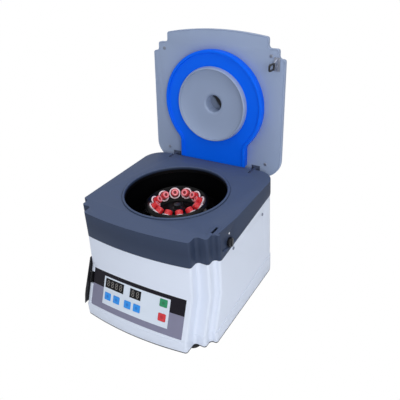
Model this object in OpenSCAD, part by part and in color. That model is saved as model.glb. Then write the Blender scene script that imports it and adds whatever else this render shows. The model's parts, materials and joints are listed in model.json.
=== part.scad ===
// Bench centrifuge with a hinged lid and a twelve place angle rotor.
// Millimetres, +Z up. The origin lies on the bench, below the middle of the open outline.
// Every module is drawn from the rotor axis and then set back by centre_y.

/* [Housing] */
// Width across the rear block
body_w = 300; // [290:1:310]
// Width of the front block that carries the panel
front_w = 229; // [222:1:234]
// Height of the deck above the bench
deck_top = 221; // [219:0.5:224]
// Height of the deck's skirt at the front
deck_skirt = 52; // [48:1:56]
// Distance from the rotor axis to the rear wall
rear_y = 144; // [143:0.5:150]
// Wall thickness of the case
case_wall = 3.5; // [3:0.1:4]
// Height of the edge where the sloped panel face begins
bend_z = 105; // [104:0.5:107]
// Lean of the panel face from vertical, degrees
panel_tilt = 21.93; // [20:0.5:23]
// Corner radius at the rear of the case and lid
rear_r = 40; // [30:1:48]

/* [Bowl] */
// Radius of the bowl's mouth
mouth_r = 100.5; // [99.5:0.5:102]
// Inner radius of the bowl below the lip
bowl_r = 108; // [107:0.5:110]
// Height of the bowl's floor
bowl_floor = 118; // [112:1:119]

/* [Lid] */
// How far the lid stands open, degrees
lid_open = 94.9; // [90:0.1:95]
// Height of the lid's rim
lid_rim_h = 9.7; // [9:0.1:11]
// Height of the raised field over the rim
lid_crown_h = 8.6; // [6:0.2:10]
// Outer radius of the round liner
liner_r = 112; // [111:0.5:113]
// Height of the liner's rim below the lid's inner plane
liner_h = 16.5; // [16.1:0.1:16.6]
// Outer radius of the dish
dish_r = 79.1; // [76:0.5:82]

/* [Rotor] */
// Number of tube places
places = 12; // [8:1:12]
// Azimuth of the first place, degrees
first_place = 128.4; // [90:0.1:150]
// Lean of the tubes from vertical, degrees
tube_lean = 53; // [51:0.5:54]
// Radius of the ring of collars
collar_ring_r = 48; // [47.5:0.1:48.5]
// Outer radius of a collar
collar_r = 11.5; // [11:0.1:11.6]
// Outer radius of a cap
cap_r = 7.5; // [7.2:0.1:7.8]
// Outer radius of a tube
tube_r = 6.5; // [6.2:0.1:6.6]

/* [Panel] */
// Width of a key
key_w = 15.5; // [14:0.5:16]
// Height of a key
key_h = 14.5; // [13:0.5:15]
// Stroke of a key
key_stroke = 0.7; // [0.5:0.05:0.8]

/* [Latch] */
// Radius of the latch knob
knob_r = 8.3; // [7.6:0.1:8.8]
// Stroke of the latch bolt
bolt_stroke = 4.8; // [4.4:0.1:4.9]

/* [Draw] */
// Sub-part to draw

/* [Hidden] */
$fn = 72;
fine = 1440;
e = 0.02;

centre_y = 7;

// plan of the housing: rear block, one step, front block with a bowed face
half_w = body_w / 2;
wide_y = 100.5;
step_w = half_w - 13;
step_y = 119.5;
block_w = front_w / 2;
block_y = 140.5;
bow_r = 660.5;
bow_cy = sqrt(pow(bow_r, 2) - pow(block_w, 2)) - block_y;
edge_r = 5;
hollow_r = 6.5;
side_inset = 1.2;
skirt_out = 0.8;

// heights of the housing
foot_h = 5.4;
plate_t = 2.6;
case_z0 = foot_h + plate_t;
skirt_z = 30;
seam_z = deck_top - deck_skirt;
seam_y = -95;
seam_rise = 0.1025;
deck_t = 3;
lean_up = 0.0406;
lean_low = tan(panel_tilt);
flute_z = 98;
flute_lean = 0.385;
shift_bend = -lean_up * (seam_z - bend_z);
shift_foot = shift_bend - lean_low * (bend_z - skirt_z);
flute_shift = -flute_lean * (flute_z - skirt_z);

// panel
panel_r = bow_r / cos(panel_tilt);
panel_y = bow_cy - bow_r + shift_bend;
recess = 1.6;
overlay_t = 1;
membrane_t = 0.5;
panel_x = 104.8;
panel_v0 = 0.5;
panel_v1 = 74.3;
split_v = 31.2;
pad_x = 75;
pad_v0 = 8;
pad_v1 = 62.5;
board_z = -17;
key_gap = 0.3;
key_top = 0.35;
key_foot = -recess + key_stroke + 0.15;
stem = 9;
stem_end = -7.5;
keys = [[-62.6, 45.4], [-40.5, 45.4], [-13.7, 45.4], [7.6, 45.4], [61.9, 18.2], [61.9, 44.9]];
speed_x = [-71.8, -26];
speed_v = [10.7, 29.2];
time_x = [-11.3, 14];
time_v = [11.9, 29.5];

// deck features
lip_w = 5;
lip_h = 2.5;
groove_w = 1;
wall_drop = 10;
slot_x = half_w - 15.5;
slot_w = 4.6;
slot_y = [-98.5, -79];
arm_x = half_w - 53;
arm_t = 5;
arm_gap = 0.4;

// hinge and lid
hinge_y = rear_y - 10;
hinge_z = deck_top - 7.8;
pin_r = 3;
run = 0.05;
lid_z = deck_top + 16.7;
lid_edge = 2.2;
lid_t = 2.4;
neck_w = 77;
neck_end = rear_y - 19;
liner_t = 3;
liner_floor = liner_h - 4;
band_w = 6;
neck_tail = 4.8;
dish_h = 22;
eye_r = 17.9;

// latch
knob_y = -63;
knob_z = 185.5;
shaft_r = 4;
bolt_r = 3;
bolt_y = -90;
bolt_z = 206;
scoop = 5;

// rotor
collar_z = 189;
collar_t = 3;
sleeve_r = 9;
sleeve_len = 60;
bore_gap = 0.05;
cap_h = 15;
shaft_top = 186;

// all pieces are drawn from the rotor axis
module set_back() {
    translate([0, -centre_y, 0]) children();
}

module on_lid() {
    set_back() translate([0, hinge_y, hinge_z]) rotate([-lid_open, 0, 0])
        translate([0, -hinge_y, -hinge_z]) children();
}

module both() {
    children();
    mirror([1, 0, 0]) children();
}

// outline helpers
module nip(x, y, r, a = 0) {
    translate([x, y]) rotate(a) difference() {
        translate([-r, -r]) square(r + 2);
        translate([-r, -r]) circle(r);
    }
}

module cove(x, y, r) {
    difference() {
        translate([x - e, y - r]) square([r + e, r + e]);
        translate([x + r, y - r]) circle(r);
    }
}

module soft_box(w, h, r) {
    difference() {
        square([w, h], center = true);
        for (a = [0, 180]) rotate(a) {
            nip(w / 2, h / 2, r);
            mirror([1, 0]) nip(w / 2, h / 2, r);
        }
    }
}

module wide_plan(o, inset = 0, tongue = 0) {
    w = half_w - inset + o;
    rear = rear_y - inset + o;
    difference() {
        union() {
            translate([-w, -wide_y - o]) square([2 * w, wide_y + rear + o]);
            translate([-step_w - o, -step_y - o]) square([2 * (step_w + o), step_y]);
        }
        both() {
            nip(w, -wide_y - o, edge_r + o, 270);
            nip(step_w + o, -step_y - o, edge_r + o, 270);
            nip(w, rear, rear_r - inset + o);
        }
    }
    if (tongue > 0) translate([-block_w - o, -step_y - tongue]) square([2 * (block_w + o), 60]);
    both() {
        cove(step_w + o, -wide_y - o, hollow_r - o);
        cove(block_w + o, -step_y - o, hollow_r - o);
    }
}

module block_plan(o) {
    w = block_w + o;
    r = edge_r + o;
    big = bow_r + o;
    cx = w - r;
    cy = bow_cy - sqrt(pow(big - r, 2) - pow(cx, 2));
    d = [cx / (big - r), (cy - bow_cy) / (big - r)];
    difference() {
        intersection() {
            translate([-w, -block_y - 40]) square([2 * w, block_y]);
            translate([0, bow_cy]) circle(big, $fn = fine);
        }
        both() translate([cx, cy]) difference() {
            polygon([[0, 0], [1.6 * r, 0], [1.6 * r * (1 + d[0]), 1.6 * r * d[1]],
                [1.6 * r * d[0], 1.6 * r * d[1]]]);
            circle(r);
        }
    }
}

module full_plan(o, inset = 0) {
    wide_plan(o, inset);
    block_plan(o);
}

// a prism that moves towards the front as it goes down
module leaning(z0, z1, k, from_z, dy) {
    multmatrix([[1, 0, 0, 0], [0, 1, k, dy - k * from_z], [0, 0, 1, 0], [0, 0, 0, 1]])
        translate([0, 0, z0]) linear_extrude(height = z1 - z0) children();
}

module above_seam(dz = 0) {
    y1 = rear_y + 60;
    rotate([90, 0, 90]) translate([0, 0, -half_w - 10]) linear_extrude(height = body_w + 20)
        polygon([[-260, seam_z + dz], [seam_y, seam_z + dz],
            [y1, seam_z + dz + seam_rise * (y1 - seam_y)], [y1, deck_top + 80], [-260, deck_top + 80]]);
}

module case_solid(o, top, low) {
    leaning(skirt_z - 1, top, lean_up, seam_z, 0.4) block_plan(o);
    leaning(skirt_z - 1, bend_z + 14, lean_low, bend_z, 0.4 + shift_bend) block_plan(o);
    translate([0, 0, low]) linear_extrude(height = top - low) wide_plan(o, side_inset, 14);
    leaning(skirt_z - 1, flute_z + 14, flute_lean, flute_z, 0) front_half(o);
    translate([0, 0, low]) linear_extrude(height = skirt_z - low) skirt_plan(o);
}

module front_half(o) {
    intersection() {
        wide_plan(o, side_inset, 14);
        translate([-half_w - 5, -250]) square([body_w + 10, 210]);
    }
}

module skirt_plan(o) {
    translate([0, flute_shift - skirt_out]) intersection() {
        wide_plan(o, 0);
        translate([-half_w - 5, -250]) square([body_w + 10, 240]);
    }
    translate([0, shift_foot + 0.4 - skirt_out]) block_plan(o);
    intersection() {
        wide_plan(o, 0);
        translate([-half_w - 5, -40]) square([body_w + 10, 250]);
    }
}

// the raised plinth along both sides and the rear, its top edge falls towards both ends
module plinth_band() {
    ya = -wide_y + flute_shift - 8;
    intersection() {
        translate([0, 0, case_z0]) linear_extrude(height = 60) difference() {
            union() {
                translate([0, flute_shift - skirt_out]) intersection() {
                    wide_plan(0);
                    translate([-half_w - 5, -250]) square([body_w + 10, 240]);
                }
                intersection() {
                    wide_plan(0);
                    translate([-half_w - 5, -40]) square([body_w + 10, 250]);
                }
            }
            translate([-half_w + 22, -160]) square([body_w - 44, 280]);
        }
        rotate([90, 0, 90]) translate([0, 0, -half_w - 10]) linear_extrude(height = body_w + 20)
            polygon([[ya, 0], [ya, skirt_z - 1], [88, 47], [110, 44], [rear_y + 10, 29],
                [rear_y + 10, 0]]);
    }
}

// panel frame: x across, y up the slope, z out of the face
module on_panel() {
    translate([0, panel_y + 0.4, bend_z]) rotate([90 - panel_tilt, 0, 0]) children();
}

module at_arc(x, v) {
    translate([0, -v, -panel_r]) rotate([0, x / panel_r * 180 / PI, 0]) translate([0, 0, panel_r])
        children();
}

module skin(x0, x1, v0, v1, d0, d1) {
    a0 = x0 / panel_r * 180 / PI;
    a1 = x1 / panel_r * 180 / PI;
    far = panel_r + 20;
    translate([0, -v0, 0]) rotate([90, 0, 0]) linear_extrude(height = v1 - v0) intersection() {
        translate([0, -panel_r]) difference() {
            circle(panel_r + d1, $fn = fine);
            circle(panel_r + d0, $fn = fine);
        }
        translate([0, -panel_r]) polygon([[0, 0], far * [sin(a0), cos(a0)],
            far * [sin((a0 + a1) / 2), cos((a0 + a1) / 2)] * 1.01, far * [sin(a1), cos(a1)]]);
    }
}

module key_windows(gap, z0, z1) {
    for (k = keys) at_arc(k[0], k[1]) translate([0, 0, z0]) linear_extrude(height = z1 - z0)
        soft_box(key_w + 2 * gap, key_h + 2 * gap, 2);
}

module display_windows(gap, d0, d1) {
    skin(speed_x[0] - gap, speed_x[1] + gap, speed_v[0] - gap, speed_v[1] + gap, d0, d1);
    skin(time_x[0] - gap, time_x[1] + gap, time_v[0] - gap, time_v[1] + gap, d0, d1);
}

// housing
module case_shell() {
    color([0.86, 0.88, 0.94]) set_back() difference() {
        union() {
            difference() {
                case_solid(0, seam_z + 40, case_z0);
                above_seam();
            }
            plinth_band();
        }
        case_solid(-case_wall, seam_z + 41, case_z0 - 1);
        on_panel() skin(-panel_x - 0.2, panel_x + 0.2, panel_v0 - 0.2, panel_v1 + 0.2, -recess, 6);
        on_panel() display_windows(0.3, -9, 1);
        on_panel() for (k = keys) at_arc(k[0], k[1]) cube([stem + 1, stem + 1, 20], center = true);
        translate([inlet_x, rear_y - 20, inlet_z]) rotate([-90, 0, 0]) linear_extrude(height = 30)
            soft_box(27.4, 19.4, 3);
        translate([fuse_x, rear_y - 20, inlet_z]) rotate([-90, 0, 0]) cylinder(r = 6.1, h = 30);
        translate([grille_x, rear_y - 20, grille_z]) rotate([-90, 0, 0]) linear_extrude(height = 30)
            soft_box(grille_w, grille_h, 4);
        on_panel() rocker_place() translate([-16, -rocker_r - 0.6, -rocker_l / 2 - 0.4])
            cube([20, 2 * rocker_r + 1.2, rocker_l + 0.8]);
        side_screw_places() cylinder(r = 2.1, h = 12, center = true);
    }
}

foot_places = [[107.5, -140], [-107.5, -140], [112, 108], [-112, 108]];

module base_plate() {
    color([0.09, 0.09, 0.1]) set_back() translate([0, 0, foot_h]) difference() {
        linear_extrude(height = plate_t) skirt_plan(-0.3);
        for (p = foot_places) translate([p[0], p[1], -1]) cylinder(r = 2.6, h = plate_t + 2);
        for (x = [-50:12.5:50]) translate([x, -60, -1]) linear_extrude(height = plate_t + 2)
            soft_box(4, 46, 1.9);
    }
}

module feet() {
    color([0.07, 0.07, 0.075]) set_back() for (p = foot_places) translate([p[0], p[1], 0])
        rotate_extrude() polygon([[3, 2.4], [8, 2.4], [8, 0], [14, 0], [15, 1], [15, 4.4],
            [13.6, foot_h], [3, foot_h]]);
}

module foot_screws() {
    color([0.6, 0.61, 0.63]) set_back() for (p = foot_places) translate([p[0], p[1], 0]) {
        difference() {
            translate([0, 0, 0.9]) cylinder(r = 5, h = 1.5);
            for (a = [0, 90]) rotate(a) translate([-3, -0.5, 0.4]) cube([6, 1, 1.3]);
        }
        translate([0, 0, 2.4 - e]) cylinder(r = 2.5, h = 10);
    }
}

module deck() {
    color([0.31, 0.37, 0.49]) set_back() difference() {
        union() {
            difference() {
                intersection() {
                    translate([0, 0, seam_z - 10]) linear_extrude(height = deck_skirt + 10) full_plan(0);
                    above_seam();
                }
                translate([0, 0, seam_z - 30]) linear_extrude(height = deck_skirt + 30 - deck_t)
                    full_plan(-deck_t);
            }
            translate([half_w - 14, -98.5, 176]) cube([12.5, 62, deck_top - deck_t - 176 + 1]);
            rotate_extrude($fn = 180) {
                translate([mouth_r, deck_top - wall_drop]) square([lip_w, wall_drop]);
                translate([mouth_r + lip_w / 2, deck_top + lip_h - lip_w / 2]) circle(lip_w / 2);
            }
        }
        translate([0, 0, deck_top - wall_drop - 1]) cylinder(r = mouth_r, h = wall_drop + 6, $fn = 180);
        difference() {
            translate([0, 0, deck_top - 1]) cylinder(r = mouth_r + lip_w + groove_w, h = 3, $fn = 180);
            translate([0, 0, deck_top - 2]) cylinder(r = mouth_r + lip_w, h = 5, $fn = 180);
        }
        translate([slot_x - slot_w / 2, slot_y[0], deck_top - 20]) cube([slot_w, slot_y[1] - slot_y[0], 30]);
        translate([0, 0, deck_top - 0.6]) linear_extrude(height = 2) latch_plate_outline();
        both() translate([arm_x - arm_t / 2 - arm_gap, hinge_y - 8.2, hinge_z - 13.5])
            cube([arm_t + 2 * arm_gap, 40, 40]);
        scoop_cut();
        translate([half_w - 40, knob_y, knob_z]) rotate([0, 90, 0]) cylinder(r = shaft_r + run, h = 60);
        translate([half_w - 3.4, knob_y, knob_z]) rotate([0, 90, 0]) cylinder(r = knob_r + 1.6, h = 30);
        translate([dot_x, knob_y + 1, 203]) rotate([0, 90, 0]) cylinder(r = 2.1, h = 10);
        side_screw_places() cylinder(r = 2.1, h = 12, center = true);
    }
}

dot_x = half_w - 4;

// the finger scoop gets deeper towards the front and runs out behind the knob
module scoop_cut() {
    intersection() {
        translate([0, 0, 160]) linear_extrude(height = 80)
            polygon([[half_w - scoop, -96], [half_w + 5, -96], [half_w + 5, -36], [half_w, -36]]);
        rotate([90, 0, 90]) translate([0, 0, half_w - 20]) linear_extrude(height = 40) difference() {
            translate([-96, 178]) square([62, 60]);
            nip(-96, 178, 16, 180);
        }
    }
}

module latch_plate_outline() {
    translate([slot_x - 1, (slot_y[0] + slot_y[1]) / 2]) soft_box(17, 31, 2);
}

module latch_plate() {
    color([0.28, 0.34, 0.45]) set_back() difference() {
        translate([0, 0, deck_top - 0.6]) linear_extrude(height = 0.9) intersection() {
            latch_plate_outline();
            full_plan(-1);
        }
        translate([slot_x - slot_w / 2, slot_y[0], deck_top - 20]) cube([slot_w, slot_y[1] - slot_y[0], 30]);
    }
}

module side_screw_places() {
    for (p = [[-51, 165], [74, 165]]) both() translate([half_w - side_inset, p[0], p[1]])
        rotate([0, 90, 0]) children();
}

module side_screws() {
    color([0.5, 0.5, 0.53]) set_back() side_screw_places() {
        difference() {
            cylinder(r = 3.2, h = 1.4);
            translate([-2.2, -0.4, 0.7]) cube([4.4, 0.8, 1]);
            translate([-0.4, -2.2, 0.7]) cube([0.8, 4.4, 1]);
        }
        translate([0, 0, -5]) cylinder(r = 2, h = 5 + e);
    }
}

module bowl() {
    color([0.03, 0.03, 0.035]) set_back() difference() {
        rotate_extrude($fn = 180) polygon([[14, bowl_floor], [bowl_r - 8, bowl_floor],
            [bowl_r + 1.5, bowl_floor + 9.5], [bowl_r + 1.5, bowl_flange], [bowl_r + 8, bowl_flange],
            [bowl_r + 8, bowl_flange + 1.5], [mouth_r + 1.5, bowl_flange + 1.5], [mouth_r + 1.5, bowl_flange], [bowl_r, bowl_flange],
            [bowl_r, bowl_floor + 10], [bowl_r - 8.5, bowl_floor + 1.5], [17, bowl_floor + 1.5],
            [17, bowl_floor + 8], [14, bowl_floor + 8]]);
        stud_places() cylinder(r = 2.2, h = 10, center = true);
    }
}

bowl_flange = deck_top - wall_drop - 2.5;

module stud_places() {
    for (a = [30:60:330]) rotate(a) translate([bowl_r + 5.2, 0, bowl_flange]) children();
}

module bowl_seal() {
    color([0.05, 0.05, 0.055]) set_back() translate([0, 0, bowl_flange + 1.5]) difference() {
        cylinder(r = mouth_r + lip_w, h = 1, $fn = 180);
        translate([0, 0, -1]) cylinder(r = mouth_r + 1.5, h = 3, $fn = 180);
    }
}

module bowl_studs() {
    color([0.62, 0.62, 0.65]) set_back() stud_places() {
        translate([0, 0, -5]) cylinder(r = 2, h = deck_top - deck_t - bowl_flange + 5);
        translate([0, 0, -3]) cylinder(r = 3.4, h = 3, $fn = 6);
        translate([0, 0, 1.5]) cylinder(r = 4.2, h = deck_top - deck_t - bowl_flange - 1.5);
    }
}

// drive
plate_z = 38;
motor_top = 106;

module damper_places() {
    for (a = [90, 210, 330]) rotate(a) translate([58, 0, case_z0]) children();
}

module dampers() {
    color([0.1, 0.1, 0.1]) set_back() damper_places() rotate_extrude()
        polygon([[0, 0], [12, 0], [12, 6], [9, 10], [9, 20], [12, 24], [12, plate_z - case_z0],
            [0, plate_z - case_z0]]);
}

module motor_plate() {
    color([0.55, 0.56, 0.58]) set_back() translate([0, 0, plate_z]) difference() {
        cylinder(r = 74, h = 4);
        for (a = [30, 150, 270]) rotate(a) translate([58, 0, -1]) cylinder(r = 9, h = 6);
    }
}

module motor() {
    color([0.2, 0.2, 0.22]) set_back() translate([0, 0, plate_z + 4]) difference() {
        union() {
            cylinder(r = 42, h = motor_top - plate_z - 10);
            cylinder(r = 47, h = 4);
            cylinder(r = 26, h = motor_top - plate_z - 4);
        }
        for (a = [0:30:330]) rotate(a) translate([40, -2, 12]) cube([5, 4, 32]);
        translate([0, 0, 10]) cylinder(r = 6 + run, h = 100);
    }
}

module drive_shaft() {
    color([0.72, 0.73, 0.75]) set_back() {
        translate([0, 0, plate_z + 16]) cylinder(r = 6, h = 170 - plate_z - 16);
        translate([0, 0, 170]) cylinder(r = 5, h = shaft_top - 170);
    }
}

// electronics
module control_board() {
    color([0.05, 0.28, 0.16]) set_back() on_panel() difference() {
        translate([-82, -66, board_z - 1.6]) cube([164, 58, 1.6]);
        for (x = [-78, 78]) for (y = [-62, -12]) translate([x, y, board_z - 3]) cylinder(r = 1.6, h = 6);
    }
}

module key_switches() {
    color([0.12, 0.12, 0.13]) set_back() on_panel() intersection() {
        for (k = keys) at_arc(k[0], k[1]) {
            translate([-3, -3, -20]) cube([6, 6, 12 - key_stroke - 0.4]);
        }
        translate([-100, -100, board_z]) cube([200, 100, 40]);
    }
}

module board_blank(x, v, d) {
    intersection() {
        skin(x[0], x[1], v[0], v[1], -24, d);
        translate([-100, -100, board_z]) cube([200, 100, 40]);
    }
}

module display_speed() {
    color([0.04, 0.04, 0.05]) set_back() on_panel() board_blank(speed_x, speed_v, -0.5);
}

module display_time() {
    color([0.04, 0.04, 0.05]) set_back() on_panel() board_blank(time_x, time_v, -0.5);
}

// seven segment figures, bars a to g
module figure_bars(n) {
    w = 5.4;
    h = 10.4;
    t = 1.15;
    on = n == 0 ? [1, 1, 1, 1, 1, 1, 0] : n == 1 ? [0, 1, 1, 0, 0, 0, 0] : n == 3 ? [1, 1, 1, 1, 0, 0, 1]
        : n == 4 ? [0, 1, 1, 0, 0, 1, 1] : n == 5 ? [1, 0, 1, 1, 0, 1, 1] : [1, 1, 0, 1, 1, 0, 1];
    if (on[0] == 1) translate([0, h / 2]) square([w - t - 0.5, t], center = true);
    if (on[1] == 1) translate([w / 2 - t / 2, h / 4]) square([t, h / 2 - t / 2 - 0.5], center = true);
    if (on[2] == 1) translate([w / 2 - t / 2, -h / 4]) square([t, h / 2 - t / 2 - 0.5], center = true);
    if (on[3] == 1) translate([0, -h / 2]) square([w - t - 0.5, t], center = true);
    if (on[4] == 1) translate([-w / 2 + t / 2, -h / 4]) square([t, h / 2 - t / 2 - 0.5], center = true);
    if (on[5] == 1) translate([-w / 2 + t / 2, h / 4]) square([t, h / 2 - t / 2 - 0.5], center = true);
    if (on[6] == 1) square([w - t - 0.5, t], center = true);
}

module display_digits() {
    xs = [-64.5, -54.2, -43.9, -33.6, -4.2, 6.2];
    ns = [4, 0, 0, 0, 1, 5];
    color([0.75, 0.72, 0.62]) set_back() on_panel() for (i = [0:5])
        at_arc(xs[i], (i < 4 ? speed_v[0] + speed_v[1] : time_v[0] + time_v[1]) / 2)
            translate([0, 0, -0.5]) linear_extrude(height = 0.2) figure_bars(ns[i]);
}

board_y = [82, 134];

module power_board() {
    color([0.06, 0.3, 0.18]) set_back() {
        translate([-95, board_y[0], 15]) cube([110, board_y[1] - board_y[0], 1.6]);
        for (x = [-90, 10]) for (y = [board_y[0] + 5, board_y[1] - 5]) translate([x, y, case_z0])
            cylinder(r = 3, h = 15 - case_z0);
    }
}

module transformer() {
    color([0.25, 0.22, 0.16]) set_back() {
        translate([-88, 90, 16.6]) cube([44, 36, 34]);
        translate([-84, 86, 24]) cube([36, 44, 20]);
        translate([-30, 100, 16.6]) cylinder(r = 9, h = 26);
        translate([-30, 122, 16.6]) cylinder(r = 9, h = 26);
    }
}

// panel
module panel_overlay() {
    color([0.1, 0.09, 0.13]) set_back() on_panel() difference() {
        skin(-panel_x, panel_x, panel_v0, split_v, -recess, -recess + overlay_t);
        display_windows(0.1, -3, 1);
        key_windows(key_gap, -4, 4);
    }
}

module panel_band() {
    color([0.5, 0.5, 0.6]) set_back() on_panel() difference() {
        skin(-panel_x, panel_x, split_v, panel_v1, -recess, -recess + overlay_t);
        key_windows(key_gap, -4, 4);
    }
}

module keypad_membrane() {
    color([0.86, 0.9, 0.95]) set_back() on_panel() difference() {
        skin(-pad_x, pad_x, pad_v0, pad_v1, -recess + overlay_t + 0.01, -recess + overlay_t + membrane_t);
        display_windows(0.1, -3, 1);
        key_windows(key_gap, -4, 4);
    }
}

module key_cap(k) {
    set_back() on_panel() at_arc(k[0], k[1]) {
        translate([0, 0, key_foot]) linear_extrude(height = key_top - key_foot) soft_box(key_w, key_h, 1.8);
        translate([-stem / 2, -stem / 2, stem_end]) cube([stem, stem, key_foot - stem_end + e]);
    }
}

module key_speed_down() {
    color([0.1, 0.56, 0.93]) key_cap(keys[0]);
}

module key_speed_up() {
    color([0.1, 0.56, 0.93]) key_cap(keys[1]);
}

module key_time_down() {
    color([0.1, 0.56, 0.93]) key_cap(keys[2]);
}

module key_time_up() {
    color([0.1, 0.56, 0.93]) key_cap(keys[3]);
}

module key_start() {
    color([0.1, 0.6, 0.4]) key_cap(keys[4]);
}

module key_stop() {
    color([0.84, 0.16, 0.2]) key_cap(keys[5]);
}

// rear of the case
inlet_x = 60;
inlet_z = 66;
fuse_x = 94;
grille_x = -40;
grille_z = 76;
grille_w = 90;
grille_h = 44;

module power_inlet() {
    color([0.06, 0.06, 0.065]) set_back() translate([inlet_x, rear_y - side_inset, inlet_z]) rotate([-90, 0, 0])
        difference() {
            union() {
                linear_extrude(height = 2.4) soft_box(48, 26, 3);
                translate([0, 0, -17]) linear_extrude(height = 17 + e) soft_box(27, 19, 2.8);
            }
            translate([0, 0, -14]) linear_extrude(height = 20) soft_box(24, 16, 3.5);
            for (x = [-20, 20]) translate([x, 0, -1]) cylinder(r = 1.7, h = 6);
        }
}

module inlet_pins() {
    color([0.75, 0.7, 0.55]) set_back() translate([inlet_x, rear_y - side_inset, inlet_z]) rotate([-90, 0, 0]) {
        for (p = [[-7, 3], [7, 3], [0, -2]]) translate([p[0] - 1, p[1] - 2, -14]) cube([2, 4, 11]);
    }
}

module fuse_holder() {
    color([0.07, 0.07, 0.075]) set_back() translate([fuse_x, rear_y - side_inset, inlet_z]) rotate([-90, 0, 0])
        difference() {
            union() {
                translate([0, 0, -24]) cylinder(r = 6, h = 24 + e);
                cylinder(r = 8.2, h = 2);
                translate([0, 0, 2 - e]) cylinder(r = 6.6, h = 6);
            }
            translate([-5, -0.6, 6.6]) cube([10, 1.2, 3]);
        }
}

module rear_grille() {
    color([0.1, 0.1, 0.11]) set_back() translate([grille_x, rear_y - side_inset, grille_z]) rotate([-90, 0, 0])
        difference() {
            union() {
                linear_extrude(height = 1.8) soft_box(grille_w + 12, grille_h + 12, 5);
                translate([0, 0, -case_wall]) linear_extrude(height = case_wall + e)
                    soft_box(grille_w - 0.4, grille_h - 0.4, 3.8);
            }
            for (x = [-39:6:39]) translate([x, 0, -10]) linear_extrude(height = 20) soft_box(3.2, 38, 1.5);
        }
}

// mains switch on the left of the front block
rocker_r = 11.5;
rocker_l = 13;

module rocker_place() {
    translate([-108, -22, -13]) children();
}

module mains_housing() {
    color([0.05, 0.05, 0.055]) set_back() difference() {
        intersection() {
            on_panel() translate([-140, -86, -24]) cube([60, 108, 22]);
            rotate([90, 0, 0]) translate([0, 0, 60]) linear_extrude(height = 160) polygon([
                [-block_w, 121], [-block_w - 0.4, 121], [-block_w - 3, 60], [-block_w - 2.8, 50],
                [-block_w - 0.4, 34], [-block_w, 34]]);
        }
        on_panel() rocker_place() cylinder(r = rocker_r + 0.4, h = rocker_l + 0.8, center = true);
        // clear of the case's corner step
        translate([-block_w - 50, -126.1, 106]) cube([70, 60, 30]);
    }
}

module mains_rocker() {
    color([0.16, 0.16, 0.17]) set_back() on_panel() rocker_place() difference() {
        cylinder(r = rocker_r, h = rocker_l, center = true);
        translate([-2, -20, -20]) cube(40);
        translate([-16.2, -20, -20]) rotate([0, 0, 14]) cube([6, 40, 40]);
    }
}

// latch
module knob_line(x) {
    translate([x, knob_y, knob_z]) rotate([0, 90, 0]) children();
}

module latch_knob() {
    color([0.04, 0.04, 0.045]) set_back() knob_line(half_w - 2.9) difference() {
        union() {
            cylinder(r = knob_r, h = 5.4);
            translate([0, 0, 5.4 - e]) linear_extrude(height = 2) soft_box(2 * knob_r - 1.6, 5, 2);
        }
        translate([0, 0, -1]) cylinder(r = shaft_r, h = 5);
    }
}

module latch_shaft() {
    color([0.66, 0.67, 0.7]) set_back() {
        knob_line(half_w - 42) cylinder(r = shaft_r, h = 43.1);
        knob_line(half_w - 40) cylinder(r = 11.8, h = 6);
    }
}

module latch_bolt() {
    color([0.66, 0.67, 0.7]) set_back() {
        translate([half_w - 28 - e, bolt_y, bolt_z]) rotate([0, 90, 0]) cylinder(r = bolt_r, h = 9.8 + e);
        translate([half_w - 31, 0, 0]) rotate([90, 0, 90]) linear_extrude(height = 3) union() {
            translate([bolt_y, bolt_z]) circle(6);
            translate([-72, 197]) circle(5);
            polygon([[-91.4, 200.2], [-73.5, 192.2], [-70.5, 201.8], [-88.2, 211.7]]);
        }
        translate([half_w - 38, -72, 197]) rotate([0, 90, 0]) cylinder(r = 2.5, h = 7 + e);
    }
}

module latch_guide() {
    color([0.45, 0.46, 0.48]) set_back() difference() {
        union() {
            translate([half_w - 22, bolt_y - 7, 199]) cube([3.6, 14, deck_top - deck_t - 199]);
            translate([half_w - 45.5, -75, 170]) cube([4.5, 24, deck_top - deck_t - 170]);
        }
        translate([half_w - 30, bolt_y, bolt_z]) rotate([0, 90, 0]) cylinder(r = bolt_r + run, h = 20);
        knob_line(half_w - 50) cylinder(r = shaft_r + run, h = 20);
    }
}

module lid_switch() {
    color([0.6, 0.1, 0.1]) set_back() translate([half_w - 38, -112, 196]) {
        cube([10, 12, deck_top - deck_t - 196]);
    }
}

module index_dot() {
    color([0.95, 0.96, 0.97]) set_back() translate([dot_x, knob_y + 1, 203]) rotate([0, 90, 0])
        cylinder(r = 2, h = half_w - scoop * 0.46 - dot_x + 0.3);
}

// hinge
module hinge_brackets() {
    inner = arm_t / 2 + arm_gap;
    color([0.5, 0.51, 0.54]) set_back() both() translate([arm_x, 0, 0]) difference() {
        union() {
            for (s = [-1, 1]) translate([s * (inner + 1.6) - 1.6, hinge_y - 9, 199])
                cube([3.2, 15.6, deck_top - deck_t - 199]);
            translate([-inner - 3.2, hinge_y - 9, 197]) cube([2 * inner + 6.4, 15.6, 3]);
        }
        translate([-20, hinge_y, hinge_z]) rotate([0, 90, 0]) cylinder(r = pin_r, h = 40);
    }
}

module hinge_pins() {
    len = arm_t + 2 * arm_gap + 6.4;
    color([0.7, 0.7, 0.72]) set_back() both() translate([arm_x - len / 2, hinge_y, hinge_z])
        rotate([0, 90, 0]) {
            translate([0, 0, -0.1]) cylinder(r = pin_r, h = len + 0.1);
            translate([0, 0, -1.55]) cylinder(r = pin_r + 1.4, h = 1.5);
        }
}

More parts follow.
